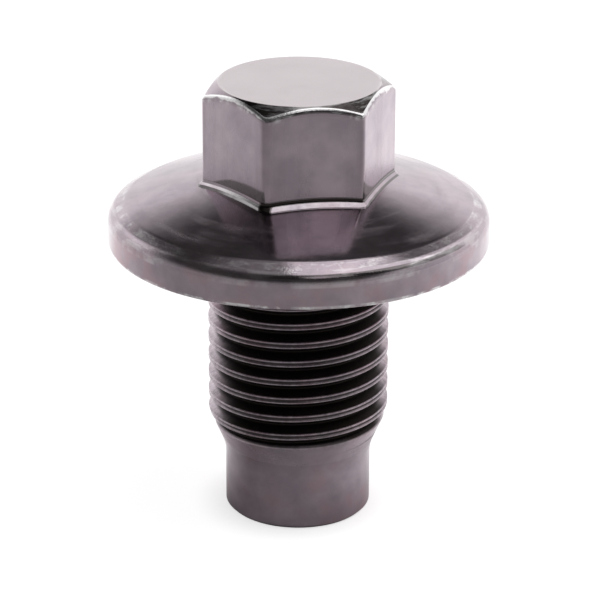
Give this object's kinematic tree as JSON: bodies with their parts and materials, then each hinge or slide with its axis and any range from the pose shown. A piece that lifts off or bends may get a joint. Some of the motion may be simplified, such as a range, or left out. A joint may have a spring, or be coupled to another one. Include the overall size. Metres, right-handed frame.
{
  "type": "oil drain plug",
  "caption": "Flanged hexagon-head oil drain plug with a fine metric thread and a plain pilot point.",
  "frame": {"origin": "centre of the flange's flat underside, which is the sealing face", "axes": "+Z along the axis, from the pilot point towards the hexagon head; one flat of the hexagon faces -Y"},
  "size_m": [0.0288, 0.0288, 0.0344],
  "materials": {
    "plated_steel": "smooth grey-violet plating on steel, softly polished"
  },
  "bodies": {
    "root": {"drain_plug": "plated_steel"}
  },
  "joints": []
}
